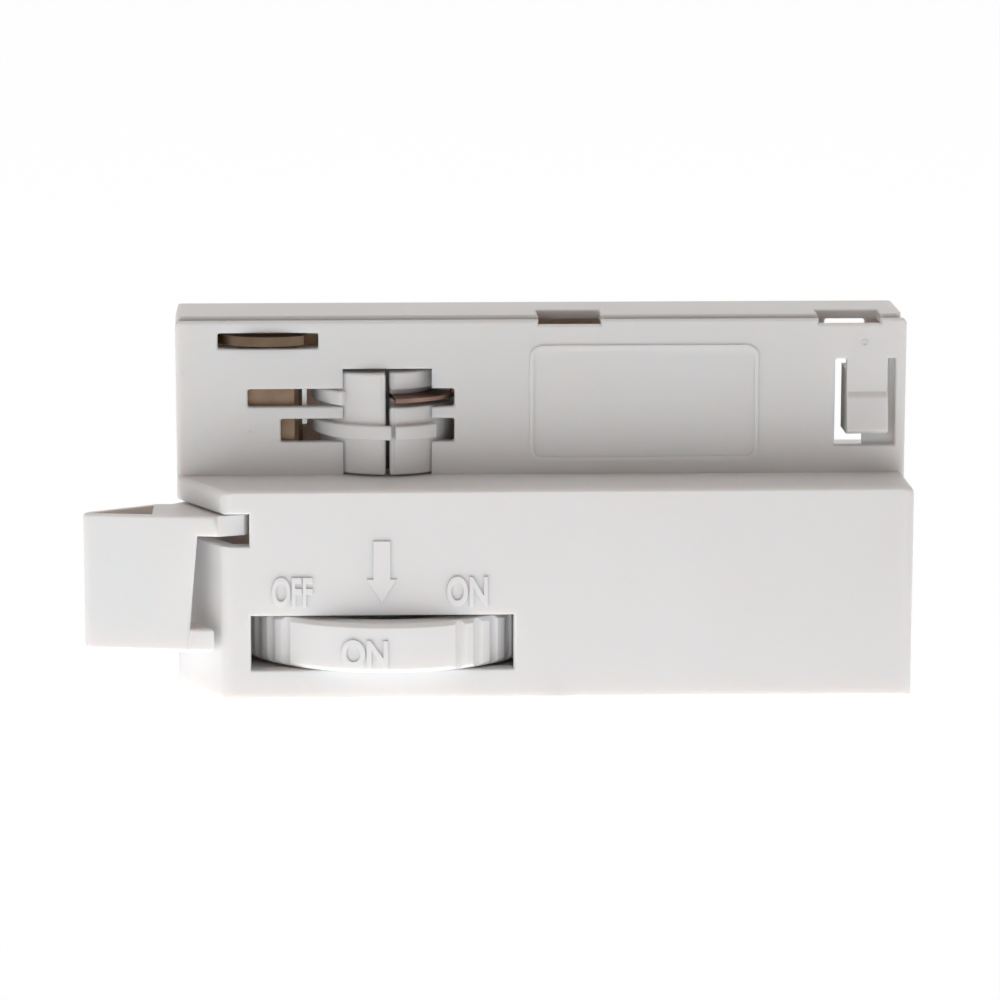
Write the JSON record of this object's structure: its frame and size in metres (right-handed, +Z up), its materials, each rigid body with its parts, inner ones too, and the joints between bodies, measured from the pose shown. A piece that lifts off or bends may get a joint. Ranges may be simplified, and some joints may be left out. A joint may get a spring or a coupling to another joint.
{
  "type": "track light adapter",
  "caption": "Track light adapter: slim insert on a wide box, with an on-off thumb wheel that turns the contacts out and an end lever that turns the lock tab.",
  "frame": {"origin": "mouth of the lamp stem's thread, on the flat underside", "axes": "+Z up into the track, +X along the adapter away from the lever, -Y towards the labelled front"},
  "size_m": [0.1051, 0.0414, 0.0474],
  "materials": {
    "white_plastic": "moulded, fine satin",
    "brass": "stamped, dull",
    "copper": "stamped copper alloy",
    "steel": "zinc plated"
  },
  "bodies": {
    "adapter": {"housing": "white_plastic", "base_cover": "white_plastic", "top_cover": "white_plastic", "contact_holder": "white_plastic", "terminal_block": "white_plastic", "phase_leaf": "brass", "neutral_leaf": "brass", "earth_leaf": "brass", "terminal_clamps": "brass", "cover_screws": "steel", "terminal_screws": "steel", "stem_nut": "steel"},
    "switch": {"thumb_wheel": "white_plastic", "rotor_spindle": "white_plastic", "rotor_right_half": "white_plastic", "rotor_left_half": "white_plastic", "phase_contact": "copper", "neutral_contact": "copper"},
    "lock": {"lock_lever": "white_plastic", "lock_shaft": "brass", "lock_circlip": "steel", "lock_tab": "brass"}
  },
  "joints": [
    {"name": "wheel_turn", "type": "hinge", "parent": "adapter", "child": "switch", "pos_m": [-0.04, 0, 0.007], "axis": [0, 0, 1], "range_deg": [-90, 0]},
    {"name": "lever_swing", "type": "hinge", "parent": "adapter", "child": "lock", "pos_m": [-0.0552, 0, 0.022], "axis": [0, 0, 1], "range_deg": [-80, 0]}
  ]
}
